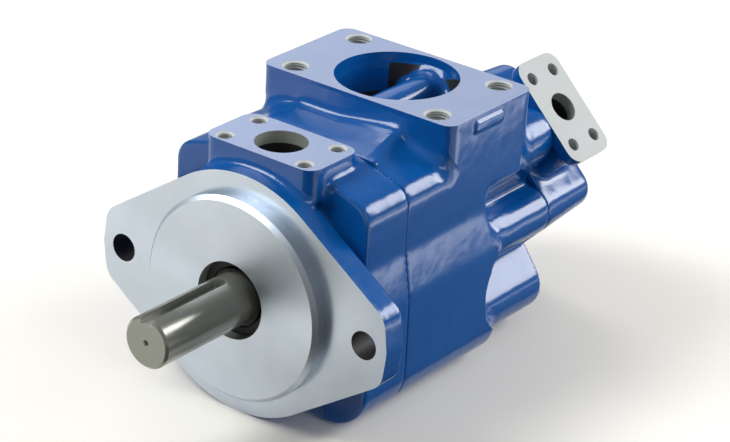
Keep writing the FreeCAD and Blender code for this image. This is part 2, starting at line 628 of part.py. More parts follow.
def shaft():
    steps = [
        (SHAFT_R, SHAFT_END_Y, JOURNAL_FRONT_Y),
        (JOURNAL_R, JOURNAL_FRONT_Y, BEARING_END_Y),
        (COLLAR_R, BEARING_END_Y, BEARING_END_Y + COLLAR_WIDTH),
        (FRONT_KIT["tooth_r"], BEARING_END_Y + COLLAR_WIDTH, FRONT_RING_Y),
        (FRONT_KIT["root_r"], FRONT_RING_Y, FRONT_REAR_SIDE_Y),
        (BUSH_SHANK_R, FRONT_REAR_SIDE_Y, REAR_SIDE_Y - SHOULDER_GAP),
        (REAR_KIT["root_r"], REAR_SIDE_Y - SHOULDER_GAP, REAR_REAR_SIDE_Y),
        (REAR_SHANK_R, REAR_REAR_SIDE_Y, REAR_JOURNAL_Y),
        (REAR_JOURNAL_R, REAR_JOURNAL_Y, SHAFT_REAR_Y)]
    profile = [(0, SHAFT_END_Y), (SHAFT_R - SHAFT_CHAMFER, SHAFT_END_Y),
               (SHAFT_R, SHAFT_END_Y + SHAFT_CHAMFER), (SHAFT_R, JOURNAL_FRONT_Y)]
    for radius, y0, y1 in steps[1:]:
        profile += [(radius, y0), (radius, y1)]
    profile[-1] = (REAR_JOURNAL_R, SHAFT_REAR_Y - SHAFT_CHAMFER)
    profile += [(REAR_JOURNAL_R - SHAFT_CHAMFER, SHAFT_REAR_Y), (0, SHAFT_REAR_Y)]
    solid = turned(profile)
    solid = solid.fuse(spline(FRONT_KIT, FRONT_RING_Y, FRONT_REAR_SIDE_Y, 0))
    solid = solid.fuse(spline(REAR_KIT, REAR_RING_Y, REAR_REAR_SIDE_Y, 0)).removeSplitter()
    floor = SHAFT_R - KEY_DEPTH
    end_r = KEY_WIDTH / 2
    keyway = Part.makeBox(KEY_WIDTH, KEYWAY_END_Y - end_r - SHAFT_END_Y + 1, KEY_DEPTH + 1,
                          V(-end_r, SHAFT_END_Y - 1, floor))
    keyway = keyway.fuse(Part.makeCylinder(end_r, KEY_DEPTH + 1, V(0, KEYWAY_END_Y - end_r, floor), V(*UP)))
    drill = Part.makeCone(CENTRE_DRILL_R, 0.2, CENTRE_DRILL_DEPTH, V(0, SHAFT_END_Y, 0), V(0, 1, 0))
    groove = tube(JOURNAL_R + 1, JOURNAL_R - RING_DEPTH, BEARING_Y - RING_THICK - 2 * FIT, BEARING_Y)
    return less(solid, [keyway, drill, groove])


def race(outer, inner):
    ring = tube(outer, inner, BEARING_Y, BEARING_END_Y)
    edges = [e for e in ring.Edges if e.Curve.TypeId == "Part::GeomCircle"]
    ring = ring.makeChamfer(0.6, edges)
    return ring.cut(hoop(BALL_PITCH_R, BALL_R + BALL_GAP, BEARING_Y + BEARING_WIDTH / 2))


def ball_angles():
    return [360 / BALL_COUNT * (k + 0.5) for k in range(BALL_COUNT)]


def bearing_balls():
    middle = BEARING_Y + BEARING_WIDTH / 2
    balls = []
    for angle in ball_angles():
        x, z = polar(BALL_PITCH_R, angle)
        balls.append(Part.makeSphere(BALL_R, V(x, middle, z)))
    return Part.makeCompound(balls)


def bearing_cage():
    """A plain ring with a round pocket for each ball."""
    middle = BEARING_Y + BEARING_WIDTH / 2
    ring = tube(BALL_PITCH_R + CAGE_HALF, BALL_PITCH_R - CAGE_HALF, middle - CAGE_WIDTH / 2,
                middle + CAGE_WIDTH / 2)
    pockets = []
    for angle in ball_angles():
        x, z = polar(BALL_PITCH_R - 2 * CAGE_HALF, angle)
        pockets.append(Part.makeCylinder(BALL_R + BALL_GAP, 4 * CAGE_HALF, V(x, middle, z), V(x, 0, z)))
    return less(ring, pockets)


def snap_ring(outer, inner, y0):
    """A retaining ring, open at the bottom, with an eye at each end for the pliers."""
    ring = tube(outer, inner, y0, y0 + RING_THICK)
    wide = math.radians(RING_GAP_DEG / 2)
    reach = 2 * outer
    wedge = Part.Face(Part.makePolygon([
        V(0, y0 - 1, 0), V(-reach * math.sin(wide), y0 - 1, -reach * math.cos(wide)),
        V(reach * math.sin(wide), y0 - 1, -reach * math.cos(wide)), V(0, y0 - 1, 0)]))
    ring = ring.cut(wedge.extrude(V(0, RING_THICK + 2, 0)))
    eyes = []
    for side in (-1, 1):
        x, z = polar((outer + inner) / 2, 270 + side * RING_GAP_DEG * 0.8)
        eyes.append(rod((outer - inner) * 0.22, y0 - 1, y0 + RING_THICK + 1, x, z))
    return less(ring, eyes)


def seal_case():
    y0, y1 = SEAL_FRONT_Y, SEAL_FRONT_Y + SEAL_WIDTH
    r = SEAL_R - FIT / 2
    return turned([(r, y0), (r, y1), (r - SEAL_SHELL, y1), (r - SEAL_SHELL, y0 + SEAL_SHELL),
                   (JOURNAL_R + 1.5, y0 + SEAL_SHELL), (JOURNAL_R + 1.5, y0)])


def seal_lip():
    y0 = SEAL_FRONT_Y + SEAL_SHELL
    r = SEAL_R - FIT / 2 - SEAL_SHELL
    tip = JOURNAL_R + RUNNING_FIT
    return turned([(r, y0), (r, y0 + LIP_LENGTH), (r - LIP_THICK, y0 + LIP_LENGTH),
                   (r - LIP_THICK, y0 + LIP_ROOT), (tip + LIP_THICK, y0 + LIP_ROOT),
                   (tip + LIP_THICK, y0 + LIP_LENGTH), (tip + LIP_THICK / 2, y0 + LIP_LENGTH),
                   (tip, y0 + LIP_EDGE), (tip + LIP_THICK / 2, y0 + LIP_ROOT / 2),
                   (tip + LIP_THICK / 3, y0)])


def seal_spring():
    return hoop(JOURNAL_R + RUNNING_FIT + LIP_THICK + SPRING_R, SPRING_R,
                SEAL_FRONT_Y + SEAL_SHELL + LIP_EDGE)


def cam_ring(kit, y0):
    """The ring that the vanes follow: two rises and two falls each turn."""
    points = []
    for k in range(48):
        lift = (1 - math.cos(4 * math.pi * k / 48)) / 2
        lift = lift * lift * (3 - 2 * lift)
        x, z = polar(kit["cam_r"] + kit["cam_rise"] * lift, 360 * k / 48)
        points.append(V(x, y0 - 1, z))
    curve = Part.BSplineCurve()
    curve.interpolate(points, PeriodicFlag=True)
    bore = Part.Face(Part.Wire([curve.toShape()])).extrude(V(0, kit["width"] + 2, 0))
    ring = rod(kit["ring_r"], y0, y0 + kit["width"])
    return less(ring, [bore] + kit_holes(kit, y0 - 1, y0 + kit["width"] + 1))


def holes_at(radius, at, angles, y0, y1):
    """A ring of straight holes along the shaft, as cutting shapes."""
    return [rod(radius, y0, y1, *polar(at, angle)) for angle in angles]


def kit_holes(kit, y0, y1):
    """Ways through a piece for a cartridge's dowel pins and screws."""
    return (holes_at(kit["pin_r"] + FIT, kit["pin_at"], PIN_ANGLES, y0, y1)
            + holes_at(kit["screw"]["r"] + KIT_SCREW_CLEARANCE, kit["pin_at"], KIT_SCREW_ANGLES, y0, y1))


def port_slots(kit, half_width, middles, y0, y1):
    """Kidney slots along the cam, one about each angle."""
    radius = kit["cam_r"] + kit["cam_rise"] / 2 - PORT_INSET
    half = PORT_SPAN_DEG / 2
    return [kidney(radius, half_width, middle - half, middle + half, y0, y1) for middle in middles]


def side_plate(kit, y0):
    """A thin plate beside the rotor, with two suction and two pressure slots."""
    y1 = y0 + kit["side"]
    disc = tube(kit["ring_r"], kit["tooth_r"] + 3 * SPLINE_FIT, y0, y1)
    half_width = kit["cam_rise"] / 2 + SIDE_PORT_EXTRA
    return less(disc, kit_holes(kit, y0 - 1, y1 + 1)
                + port_slots(kit, half_width, OUTLET_PORTS + INLET_PORTS, y0 - 1, y1 + 1))


def plate_groove(kit, y0):
    """Where a support plate's seal groove starts and ends: room for the seal and its backup ring."""
    start = y0 + kit["plate"] / 2 - PLATE_SEAL_R
    return start, start + 2 * PLATE_SEAL_R + 2 * FIT + BACKUP_THICK


def support_plate(kit, y0, bore_r, ports, pocket_r, in_front):
    """A thick plate at one end of a cartridge, with a seal groove round its rim."""
    y1 = y0 + kit["plate"]
    size, at = kit["screw"], kit["pin_at"]
    disc = tube(pocket_r - FIT, bore_r, y0, y1)
    cuts = port_slots(kit, kit["port_half"], ports, y0 - 1, y1 + 1)
    start, end = plate_groove(kit, y0)
    cuts.append(tube(pocket_r + 1, pocket_r - 2 * PLATE_SEAL_R - FIT, start, end))
    if in_front:
        cuts += holes_at(kit["pin_r"] + FIT, at, PIN_ANGLES, y0 + PIN_INSET, y1 + 1)
        cuts += holes_at(size["r"] + THREAD_FIT, at, KIT_SCREW_ANGLES, y0 + PIN_INSET, y1 + 1)
    else:
        cuts += holes_at(kit["pin_r"] + FIT, at, PIN_ANGLES, y0 - 1, y1 - PIN_INSET)
        cuts += holes_at(size["r"] + KIT_SCREW_CLEARANCE, at, KIT_SCREW_ANGLES, y0 - 1, y1 + 1)
        cuts += holes_at(size["head_r"] + KIT_SCREW_CLEARANCE, at, KIT_SCREW_ANGLES,
                         y1 - size["head"] - KIT_SCREW_CLEARANCE, y1 + 1)
    return less(disc, cuts)


def plate_seal(kit, pocket_r, y0):
    start = plate_groove(kit, y0)[0]
    return hoop(pocket_r - PLATE_SEAL_R - FIT / 2, PLATE_SEAL_R, start + PLATE_SEAL_R + FIT)


def backup_ring(kit, pocket_r, y0):
    end = plate_groove(kit, y0)[1]
    return tube(pocket_r - FIT, pocket_r - 2 * PLATE_SEAL_R, end - BACKUP_THICK, end)


def vane_angles():
    return [360 / VANE_COUNT * k + 180 / VANE_COUNT for k in range(VANE_COUNT)]


def foot_r(kit):
    """Where the vanes' feet lie: a wall of the rotor's hub outside its splines."""
    return kit["tooth_r"] + kit["hub_wall"]


def vane_height(kit):
    return kit["cam_r"] - TIP_GAP - foot_r(kit)


def rotor(kit, y0):
    """The slotted rotor, splined to the shaft."""
    y0, y1 = y0 + FACE_GAP, y0 + kit["width"] - FACE_GAP
    body = rod(kit["cam_r"] - 4 * TIP_GAP, y0, y1)
    cuts = [spline(kit, y0 - 1, y1 + 1, SPLINE_FIT)]
    wide = kit["vane_thick"] + 2 * VANE_FIT
    bottom = foot_r(kit) - SLOT_GAP
    for angle in vane_angles():
        slot = Part.makeBox(kit["cam_r"], y1 - y0 + 2, wide, V(bottom, y0 - 1, -wide / 2))
        relief = rod(wide * 0.6, y0 - 1, y1 + 1, bottom, 0)
        cuts.append(spun(slot.fuse(relief), angle))
    return less(body, cuts)


def vane_blank(kit, y0):
    """One vane lying along +X, before its notch is cut."""
    wide = kit["width"] - 4 * FACE_GAP
    box = Part.makeBox(vane_height(kit) + 2, wide, kit["vane_thick"],
                       V(foot_r(kit), y0 + 2 * FACE_GAP, -kit["vane_thick"] / 2))
    return box.common(rod(kit["cam_r"] - TIP_GAP, y0 - 1, y0 + kit["width"] + 1))


def vane_notch(kit, y0, clearance):
    """The place of the insert in the foot of a vane."""
    long = kit["width"] * 0.4
    return Part.makeBox(vane_height(kit) * 0.45 + clearance, long + 2 * clearance,
                        kit["vane_thick"] + 2, V(foot_r(kit), y0 + (kit["width"] - long) / 2 - clearance,
                                                 -kit["vane_thick"] / 2 - 1))


def vanes(kit, y0):
    one = vane_blank(kit, y0).cut(vane_notch(kit, y0, VANE_FIT))
    return Part.makeCompound([spun(one, angle) for angle in vane_angles()])


def inserts(kit, y0):
    one = vane_notch(kit, y0, 0).common(vane_blank(kit, y0))
    return Part.makeCompound([spun(one, angle) for angle in vane_angles()])


def dowel_pins(kit, y0, y1):
    return Part.makeCompound(holes_at(kit["pin_r"], kit["pin_at"], PIN_ANGLES, y0, y1))


def screws(size, radius, angles, seat_y, end_y):
    group = []
    for angle in angles:
        x, z = polar(radius, angle)
        group.append(screw(size, x, z, seat_y, end_y))
    return Part.makeCompound(group)


def cartridge(name, kit, ring_y, outlet_plate_y, inlet_plate_y, pocket_r, shank_r):
    """All the pieces of one cartridge, by node name."""
    width, side, thick = kit["width"], kit["side"], kit["plate"]
    first = min(outlet_plate_y, inlet_plate_y)
    last = max(outlet_plate_y, inlet_plate_y) + thick
    bush_r = BUSH_SHANK_R + RUNNING_FIT + BUSH_WALL
    size = kit["screw"]
    outlet_plate = support_plate(kit, outlet_plate_y, shank_r + SHOULDER_GAP, OUTLET_PORTS, pocket_r,
                                 outlet_plate_y == first)
    inlet_plate = support_plate(kit, inlet_plate_y, bush_r, INLET_PORTS, pocket_r,
                                inlet_plate_y == first)
    return {
        name + "_outlet_plate": outlet_plate,
        name + "_inlet_plate": inlet_plate,
        name + "_plate_bush": tube(bush_r, BUSH_SHANK_R + RUNNING_FIT, inlet_plate_y,
                                   inlet_plate_y + thick),
        name + "_plate_seals": Part.makeCompound([plate_seal(kit, pocket_r, outlet_plate_y),
                                                  plate_seal(kit, pocket_r, inlet_plate_y)]),
        name + "_backup_rings": Part.makeCompound([backup_ring(kit, pocket_r, outlet_plate_y),
                                                   backup_ring(kit, pocket_r, inlet_plate_y)]),
        name + "_side_plates": Part.makeCompound([side_plate(kit, ring_y - side),
                                                  side_plate(kit, ring_y + width)]),
        name + "_cam_ring": cam_ring(kit, ring_y),
        name + "_rotor": rotor(kit, ring_y),
        name + "_vanes": vanes(kit, ring_y),
        name + "_vane_inserts": inserts(kit, ring_y),
        name + "_dowel_pins": dowel_pins(kit, first + PIN_INSET, last - PIN_INSET),
        name + "_kit_screws": screws(size, kit["pin_at"], KIT_SCREW_ANGLES,
                                     last - size["head"] - KIT_SCREW_CLEARANCE, first + PIN_INSET)}


def build():
    parts = {
        "front_body": front_body(),
        "middle_housing": middle_housing(),
        "rear_cover": rear_cover(),
        "shaft": shaft(),
        "bearing_outer_ring": race(BEARING_OUTER_R, OUTER_RACE_R),
        "bearing_inner_ring": race(INNER_RACE_R, JOURNAL_R),
        "bearing_balls": bearing_balls(),
        "bearing_cage": bearing_cage(),
        "bearing_retaining_ring": snap_ring(BEARING_OUTER_R + RING_DEPTH, BEARING_OUTER_R - RING_REACH,
                                            BEARING_END_Y + FIT),
        "shaft_retaining_ring": snap_ring(JOURNAL_R + RING_REACH, JOURNAL_R - RING_DEPTH + FIT,
                                          BEARING_Y - RING_THICK - FIT),
        "shaft_seal_case": seal_case(),
        "shaft_seal_lip": seal_lip(),
        "shaft_seal_spring": seal_spring(),
        "body_joint_ring": hoop(JOINT1_R, JOINT_RING_R, SEAM_Y + JOINT_RING_R + FIT / 2),
        "cover_joint_ring": hoop(JOINT2_R, JOINT_RING_R, COVER_SEAM_Y - JOINT_RING_R - FIT / 2),
        "rear_bush": tube(REAR_JOURNAL_R + REAR_BUSH_WALL, REAR_JOURNAL_R + RUNNING_FIT, REAR_BUSH_Y,
                          REAR_BUSH_Y + REAR_BUSH_LEN),
        "body_screws": screws(BODY_SCREW, BODY_SCREW_R, QUARTER, BODY_SCREW_SEAT_Y, BODY_SCREW_END_Y),
        "cover_screws": screws(COVER_SCREW, COVER_SCREW_R, CROSS, COVER_SCREW_SEAT_Y, COVER_SCREW_END_Y)}
    parts |= cartridge("front", FRONT_KIT, FRONT_RING_Y, FRONT_POCKET_Y, FRONT_INLET_PLATE_Y,
                       FRONT_POCKET_R, FRONT_KIT["tooth_r"])
    parts |= cartridge("rear", REAR_KIT, REAR_RING_Y, REAR_OUTLET_PLATE_Y, REAR_POCKET_Y,
                       REAR_POCKET_R, REAR_SHANK_R)
    return parts


if __name__ == "__main__":
    for name, shape in build().items():
        shape.exportStep(f"parts/{name}.step")
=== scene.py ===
# %% [markdown]
# # A double vane pump, dressed for its photograph
# The pump is three iron castings in glossy blue enamel, with every mating face machined bare, and
# a ground steel shaft. Its solids come from CAD as a fixed frame. This file gives them soft cast
# corners, threads, finishes, light and a camera, and changes no outer size.

# %% Load the frame
import json
import math

import bmesh
import bpy
from mathutils import Matrix, Vector

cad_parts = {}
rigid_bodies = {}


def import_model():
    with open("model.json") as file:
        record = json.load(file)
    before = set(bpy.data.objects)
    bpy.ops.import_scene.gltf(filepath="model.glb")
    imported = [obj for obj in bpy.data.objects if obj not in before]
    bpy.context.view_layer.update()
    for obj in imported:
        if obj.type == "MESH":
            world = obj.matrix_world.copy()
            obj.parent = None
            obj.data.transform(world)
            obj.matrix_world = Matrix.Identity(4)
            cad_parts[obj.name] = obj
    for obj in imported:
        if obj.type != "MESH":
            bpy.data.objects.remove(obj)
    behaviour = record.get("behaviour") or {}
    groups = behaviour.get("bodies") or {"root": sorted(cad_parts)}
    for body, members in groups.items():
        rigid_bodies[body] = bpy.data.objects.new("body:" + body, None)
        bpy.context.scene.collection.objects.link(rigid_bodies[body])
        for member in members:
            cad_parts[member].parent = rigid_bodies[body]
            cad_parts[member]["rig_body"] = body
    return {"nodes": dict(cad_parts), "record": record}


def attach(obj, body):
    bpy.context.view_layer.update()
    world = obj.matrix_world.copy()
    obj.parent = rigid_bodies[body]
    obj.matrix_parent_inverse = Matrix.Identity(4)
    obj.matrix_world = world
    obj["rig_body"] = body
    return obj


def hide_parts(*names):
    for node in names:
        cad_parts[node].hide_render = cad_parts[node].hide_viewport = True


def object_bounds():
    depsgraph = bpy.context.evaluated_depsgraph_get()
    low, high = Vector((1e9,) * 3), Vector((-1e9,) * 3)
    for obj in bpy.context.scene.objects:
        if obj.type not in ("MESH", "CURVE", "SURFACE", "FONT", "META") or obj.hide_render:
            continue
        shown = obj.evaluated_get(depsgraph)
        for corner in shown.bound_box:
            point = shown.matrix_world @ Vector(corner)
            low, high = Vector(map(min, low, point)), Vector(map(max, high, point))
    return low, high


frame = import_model()
cad_box = [list(corner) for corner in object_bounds()]
MM = 0.001
scene = bpy.context.scene
print("CAD box in metres:", cad_box)

# %% [markdown]
# ## Camera
# The photograph looks down on the front right of the pump with a long lens. The angles and the
# lens were found by matching known holes and edges of the pump with their places in the picture.
# A camera looks along its own -Z, so its rotation is the matrix whose columns are right, up and
# back.

# %% Camera
AZIMUTH, ELEVATION, ROLL = 36.51, 25.34, 3.11
DISTANCE = 1559.7 * MM
SHIFT_RIGHT, SHIFT_UP = -72.17 * MM, -42.77 * MM
FOCAL_PIXELS, PICTURE_WIDTH, SENSOR_MM = 2701.2, 730, 36.0
NEAREST, FARTHEST = 0.05, 20

a, e, r = (math.radians(angle) for angle in (AZIMUTH, ELEVATION, ROLL))
back = Vector((math.sin(a) * math.cos(e), -math.cos(a) * math.cos(e), math.sin(e)))
level_right = Vector((math.cos(a), math.sin(a), 0))
level_up = back.cross(level_right)
right = math.cos(r) * level_right + math.sin(r) * level_up
up = math.cos(r) * level_up - math.sin(r) * level_right
stand = DISTANCE * back - SHIFT_RIGHT * right - SHIFT_UP * up
turned_to = Matrix((right, up, back)).transposed().to_4x4()

camera = bpy.data.objects.new("camera", bpy.data.cameras.new("camera"))
scene.collection.objects.link(camera)
camera.matrix_world = Matrix.Translation(stand) @ turned_to
camera.data.sensor_width = SENSOR_MM
camera.data.lens = FOCAL_PIXELS / PICTURE_WIDTH * SENSOR_MM
camera.data.clip_start, camera.data.clip_end = NEAREST, FARTHEST
scene.camera = camera
scene.view_settings.view_transform = "Standard"
print("lens in mm:", round(camera.data.lens, 1))

# %% [markdown]
# ## Helpers for materials
# Colours are written as sRGB hex, as a paint chip is, and Blender wants them linear. The second
# helper adds a node, sets its inputs and joins them, whatever the node is. The third starts a
# material, and the last turns a real size in millimetres into a texture's scale.

# %% Helpers for materials
def linear(hex_colour):
    """An sRGB hex colour as linear red, green, blue and alpha."""
    parts = [int(hex_colour[i:i + 2], 16) / 255 for i in (1, 3, 5)]
    return [c / 12.92 if c <= 0.04045 else ((c + 0.055) / 1.055) ** 2.4 for c in parts] + [1]


def add(tree, kind, inputs=None, **settings):
    """Add a node; an input given as a socket is joined, any other is set."""
    node = tree.nodes.new(kind)
    for name, value in settings.items():
        setattr(node, name, value)
    for name, value in (inputs or {}).items():
        if isinstance(value, bpy.types.NodeSocket):
            tree.links.new(value, node.inputs[name])
        else:
            node.inputs[name].default_value = value
    return node


def new_material(name):
    """An empty material with its surface output, and the place on the part in metres."""
    material = bpy.data.materials.new(name)
    material.use_nodes = True
    tree = material.node_tree
    tree.nodes.clear()
    output = add(tree, "ShaderNodeOutputMaterial")
    where = add(tree, "ShaderNodeTexCoord").outputs["Object"]
    return material, tree, output, where


def per_metre(millimetres):
    """A texture's scale when one of its repeats is that long."""
    return 1 / (millimetres * MM)


# %% [markdown]
# ## Steels
# A metal is metallic 1 with the colour that it reflects. What tells ground, hardened, blued and
# pressed steel apart is that colour, the roughness, and fine marks in two close shades. The marks
# on a ground shaft are far finer than a pixel, so they are drawn 0.4 mm wide and stretched round
# its axis, and its metallic value is lowered to the dull grey that the photograph shows.

# %% Plain metals
SMOOTHER, ROUGHER = 0.06, 0.08


def metal(name, colour, shade, roughness, mark_mm, mark_depth, stretch=(1, 1, 1), metallic=1.0):
    """Metal with marks of one size, in two close shades."""
    material, tree, output, where = new_material(name)
    space = add(tree, "ShaderNodeMapping", {"Vector": where, "Scale": stretch}).outputs["Vector"]
    marks = add(tree, "ShaderNodeTexNoise", {
        "Vector": space, "Scale": per_metre(mark_mm), "Detail": 4.0}).outputs["Fac"]
    blend = add(tree, "ShaderNodeMix", {
        "Factor": marks, "A": linear(shade), "B": linear(colour)}, data_type="RGBA")
    rough = add(tree, "ShaderNodeMapRange", {
        "Value": marks, "To Min": roughness - SMOOTHER, "To Max": roughness + ROUGHER})
    bump = add(tree, "ShaderNodeBump", {
        "Height": marks, "Distance": mark_depth * MM, "Strength": 0.5})
    shader = add(tree, "ShaderNodeBsdfPrincipled", {
        "Base Color": blend.outputs["Result"], "Metallic": metallic,
        "Roughness": rough.outputs["Result"], "Normal": bump.outputs["Normal"]})
    tree.links.new(shader.outputs["BSDF"], output.inputs["Surface"])
    return material


# Each line's name says how the surface was made. Polished races mirror most, oxide and phosphate
# are nearly black, and sintered bronze is dull because of its pores.
FINISHES = {
    "shaft_steel": metal("ground_steel", "#989A91", "#90928A", 0.22, 0.4, 0.001,
                         (0.25, 1, 0.25), 0.6),
    "bearing_steel": metal("bearing_steel", "#D5D6D8", "#C2C4C8", 0.14, 1.0, 0.005),
    "cage_steel": metal("pressed_steel", "#A9ABAF", "#8F9297", 0.34, 3.0, 0.02),
    "spring_steel": metal("phosphated_spring_steel", "#3B3C3E", "#2A2B2D", 0.42, 0.8, 0.01),
    "hard_steel": metal("hardened_steel", "#B8BBC0", "#A2A6AD", 0.24, 0.8, 0.01),
    "screw_steel": metal("black_oxide_steel", "#34353A", "#232428", 0.36, 0.9, 0.01),
    "bronze": metal("sintered_bronze", "#B98A4E", "#94683A", 0.38, 0.6, 0.02),
    "plate_iron": metal("turned_iron", "#8D9198", "#75797F", 0.34, 0.8, 0.02),
}
print("metals:", len(FINISHES))

# %% [markdown]
# ## Rubber and plastic
# Nitrile rubber is nearly black and matte, with a faint bloom. The backup rings are off-white
# plastic. Both come out of a mould, whose fine grain shows as a slight unevenness. The same
# helper also serves for the bare iron in the tapped holes, and for the flat black painted where
# shade falls.

# %% Rubber and plastic
GRAIN_DEPTH = 0.02 * MM


def moulded(name, colour, shade, roughness, grain_mm):
    """A matte surface with an even grain, which isn't a metal to the eye."""
    material, tree, output, where = new_material(name)
    grain = add(tree, "ShaderNodeTexNoise", {
        "Vector": where, "Scale": per_metre(grain_mm), "Detail": 3.0}).outputs["Fac"]
    blend = add(tree, "ShaderNodeMix", {
        "Factor": grain, "A": linear(shade), "B": linear(colour)}, data_type="RGBA")
    bump = add(tree, "ShaderNodeBump", {
        "Height": grain, "Distance": GRAIN_DEPTH, "Strength": 0.4})
    shader = add(tree, "ShaderNodeBsdfPrincipled", {
        "Base Color": blend.outputs["Result"], "Roughness": roughness,
        "Normal": bump.outputs["Normal"]})
    tree.links.new(shader.outputs["BSDF"], output.inputs["Surface"])
    return material


FINISHES["seal_rubber"] = moulded("nitrile_rubber", "#26272A", "#1A1B1D", 0.62, 0.5)
FINISHES["ring_plastic"] = moulded("backup_plastic", "#E4E1D6", "#D6D2C5", 0.45, 0.8)
print("finishes:", len(FINISHES))

# %% [markdown]
# ## Enamel
# The castings are dipped in one gloss blue enamel and then faced on a mill or a lathe, so each
# carries two finishes that meet on a sharp edge. Enamel is a smooth coat with an IOR of 1.5. The
# sand-cast skin under it shows as slow waves in its highlights, about 14 mm long, and as a
# faint grain of 2.2 mm. The paint's depth varies over some 45 mm.

# %% Enamel
WAVE_MM, GRAIN_MM, CLOUD_MM = 14.0, 2.2, 45.0


def enamel(name, colour, deep):
    """Gloss paint over a sand-cast skin."""
    material, tree, output, where = new_material(name)
    skin = add(tree, "ShaderNodeTexNoise", {
        "Vector": where, "Scale": per_metre(WAVE_MM), "Detail": 1.5}).outputs["Fac"]
    grain = add(tree, "ShaderNodeTexNoise", {
        "Vector": where, "Scale": per_metre(GRAIN_MM), "Detail": 3.0}).outputs["Fac"]
    cloud = add(tree, "ShaderNodeTexNoise", {
        "Vector": where, "Scale": per_metre(CLOUD_MM), "Detail": 2.0}).outputs["Fac"]
    paint = add(tree, "ShaderNodeMix", {
        "Factor": cloud, "A": linear(deep), "B": linear(colour)}, data_type="RGBA")
    waves = add(tree, "ShaderNodeBump", {
        "Height": skin, "Distance": 0.35 * MM, "Strength": 1.0}).outputs["Normal"]
    fine = add(tree, "ShaderNodeBump", {
        "Height": grain, "Distance": 0.03 * MM, "Strength": 1.0, "Normal": waves})
    shader = add(tree, "ShaderNodeBsdfPrincipled", {
        "Base Color": paint.outputs["Result"], "Roughness": 0.17, "IOR": 1.5,
        "Normal": fine.outputs["Normal"]})
    tree.links.new(shader.outputs["BSDF"], output.inputs["Surface"])
    return material


ENAMEL = enamel("blue_enamel", "#085AA6", "#064D94")
print("coat:", ENAMEL.name)

# %% [markdown]
# ## Bare iron
# Where the castings were faced, the iron keeps the cutter's marks: arcs from the face mill on the
# port pads, and rings on the flange, which was turned. Rings spread a highlight outwards from the
# axis, so the turned finish is anisotropic, with its tangent running round the shaft. The real
# marks are finer than a pixel, so they are drawn 0.7 mm apart. The outlet pad at the rear and the
# countersinks carry a painted highlight: their bare iron is drawn pale, flat and not metallic.

# %% Machined iron
# At scale 1 a wave texture runs through 20 radians in a metre, so this is a ring each 0.69 mm.
MARK_SCALE = per_metre(0.35) / 6.28
MILL_CENTRE = (0.11, -0.06, 0)
ANISOTROPY = 0.75


def machined(name, colour, shade, roughness, turned, metallic):
    """Bare iron marked by a face mill, or by a lathe tool that ran round the shaft axis."""
    material, tree, output, where = new_material(name)
    centre = (0, 0, 0) if turned else MILL_CENTRE
    moved = add(tree, "ShaderNodeMapping", {"Vector": where, "Location": centre}).outputs["Vector"]
    marks = add(tree, "ShaderNodeTexWave", {
        "Vector": moved, "Scale": MARK_SCALE, "Distortion": 0.8, "Detail": 2.0},
        wave_type="RINGS", rings_direction="Y" if turned else "Z")
    cloud = add(tree, "ShaderNodeTexNoise", {
        "Vector": where, "Scale": per_metre(18.0), "Detail": 3.0})
    blend = add(tree, "ShaderNodeMix", {
        "Factor": cloud.outputs["Fac"], "A": linear(shade), "B": linear(colour)},
        data_type="RGBA")
    bump = add(tree, "ShaderNodeBump", {
        "Height": marks.outputs["Fac"], "Distance": 0.004 * MM, "Strength": 0.5})
    shader = add(tree, "ShaderNodeBsdfPrincipled", {
        "Base Color": blend.outputs["Result"], "Metallic": metallic, "Roughness": roughness,
        "Normal": bump.outputs["Normal"]})
    if turned:
        round_axis = add(tree, "ShaderNodeTangent", direction_type="RADIAL", axis="Y")
        shader.inputs["Anisotropic"].default_value = ANISOTROPY
        tree.links.new(round_axis.outputs["Tangent"], shader.inputs["Tangent"])
    tree.links.new(shader.outputs["BSDF"], output.inputs["Surface"])
    return material


TURNED = machined("turned_flange_iron", "#CAD4DF", "#BBC6D2", 0.34, True, 1.0)
MILLED = machined("milled_iron", "#AAB8D9", "#9FAED0", 0.42, False, 0.8)
# Pale, flat and not metallic: a painted highlight on bare iron.
HIGHLIT_IRON = machined("milled_iron_painted_highlight", "#C9CDCD", "#BFC4C4", 0.6, False, 0.0)
BORED = metal("bored_iron", "#A9ADA6", "#8B9089", 0.42, 1.2, 0.01, metallic=0.3)
TAPPED_IRON = moulded("tapped_iron", "#C3C8C8", "#A9AFAF", 0.4, 1.0)
# Flat black painted where shade falls: deep in bores, mounting holes and the inlet, on the shaft's
# collar, and on the dark cards that only reflections see.
SHADE_BLACK = moulded("painted_shade_black", "#1D1D20", "#121214", 0.6, 1.5)
print("iron finishes:", [m.name for m in (TURNED, MILLED, HIGHLIT_IRON, BORED, TAPPED_IRON, SHADE_BLACK)])

# %% [markdown]
# ## Give every CAD node its finish
# The record names a material slot for each node, and each slot has one finish above. A casting's
# node takes the enamel here and is dressed further below. The shaft's collar, which stands in the
# shade of the seal recess, is painted black as shade.

# %% Finishes on the CAD nodes
COLLAR_FRONT, COLLAR_INNER = -6 * MM, 16 * MM

slot_of = {part["node"]: part["material_slot"] for part in frame["record"]["subparts"]}
for name, node in frame["nodes"].items():
    node.data.materials.clear()
    node.data.materials.append(FINISHES.get(slot_of[name], ENAMEL))
shaft = frame["nodes"]["shaft"].data
shaft.materials.append(SHADE_BLACK)
for face in shaft.polygons:
    off_axis = math.hypot(face.center.x, face.center.z)
    if face.center.y > COLLAR_FRONT and off_axis > COLLAR_INNER:
        face.material_index = 1
print("nodes dressed:", len(frame["nodes"]))

# %% [markdown]
# ## Where each casting was machined
# A sand casting has no sharp inside or outside corner, but its machined faces do. So each casting
# is built from two meshes that meet 2.2 mm under each machined face. Above that line it is the
# CAD mesh, whose edges are exact. Below it is an even skin of small faces, made by a voxel
# remesh, that is smoothed until its corners are as soft as sand leaves them. Bores, seams and
# the chambers round the shaft were cut too, so they aren't smoothed.

